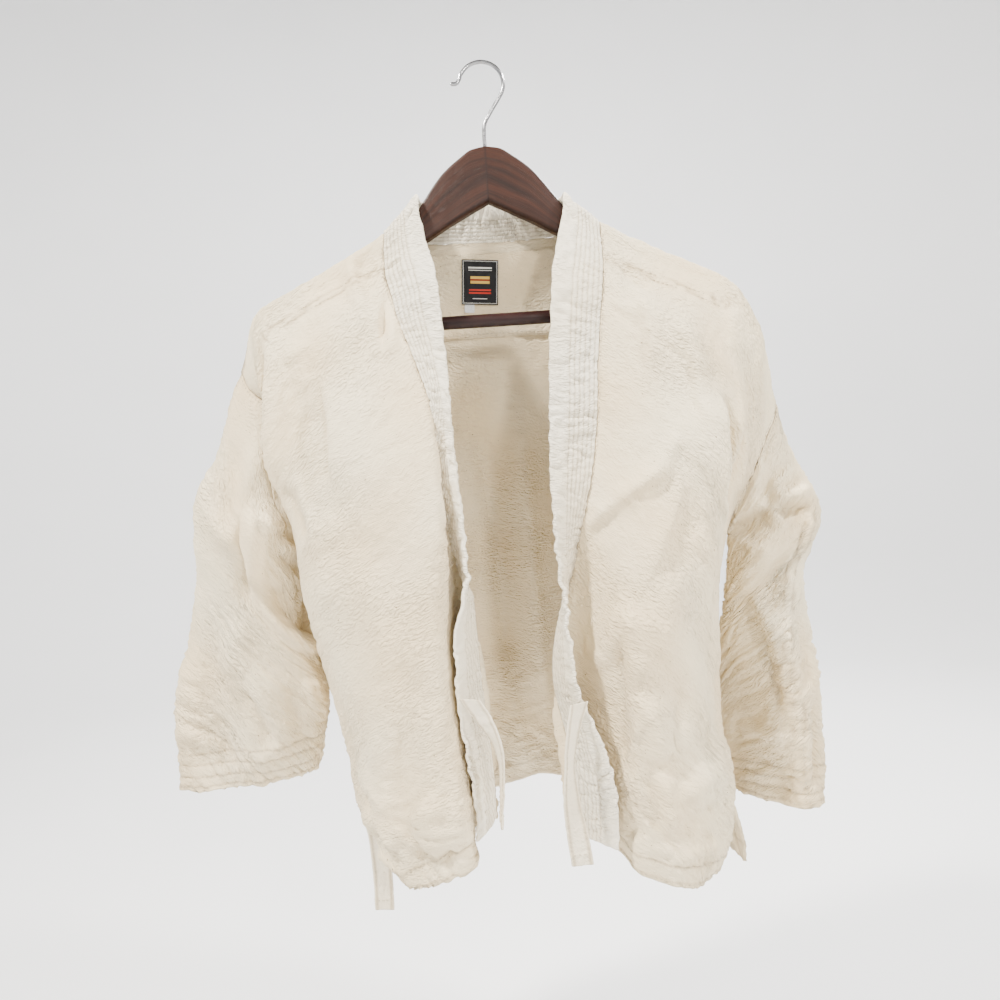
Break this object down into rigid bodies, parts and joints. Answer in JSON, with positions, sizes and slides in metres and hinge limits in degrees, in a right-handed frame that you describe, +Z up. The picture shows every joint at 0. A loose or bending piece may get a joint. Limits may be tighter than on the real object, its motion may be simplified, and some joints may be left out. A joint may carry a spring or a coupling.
{
  "type": "karate gi jacket on a wooden hanger",
  "caption": "Open cotton karate jacket with a banded collar, tape ties and side slits, hanging on a contoured wooden hanger with a trouser bar and a wire hook.",
  "frame": {"origin": "inner top of the hook's bend, where a rail carries the hanger", "axes": "+Z up, -Y to the front of the jacket, +X to the right as the front is seen"},
  "size_m": [0.6234, 0.2179, 0.7822],
  "materials": {
    "canvas": "unbleached washed cotton",
    "band_canvas": "paler quilted cotton with rows of stitching",
    "tape": "woven cotton tape",
    "label_satin": "woven satin",
    "walnut": "dark stain under clear lacquer",
    "bar_wood": "dark mahogany stain under clear lacquer",
    "wire": "bright plated wire"
  },
  "bodies": {
    "root": {"back": "canvas", "front_left": "canvas", "front_right": "canvas", "sleeve_left": "canvas", "sleeve_right": "canvas", "yoke": "canvas", "collar": "band_canvas", "label": "label_satin", "tie_side_left": "tape", "tie_lapel_left": "tape", "tie_lapel_right": "tape", "hanger_body": "walnut", "hanger_bar": "bar_wood", "hanger_hook": "wire"}
  },
  "joints": []
}
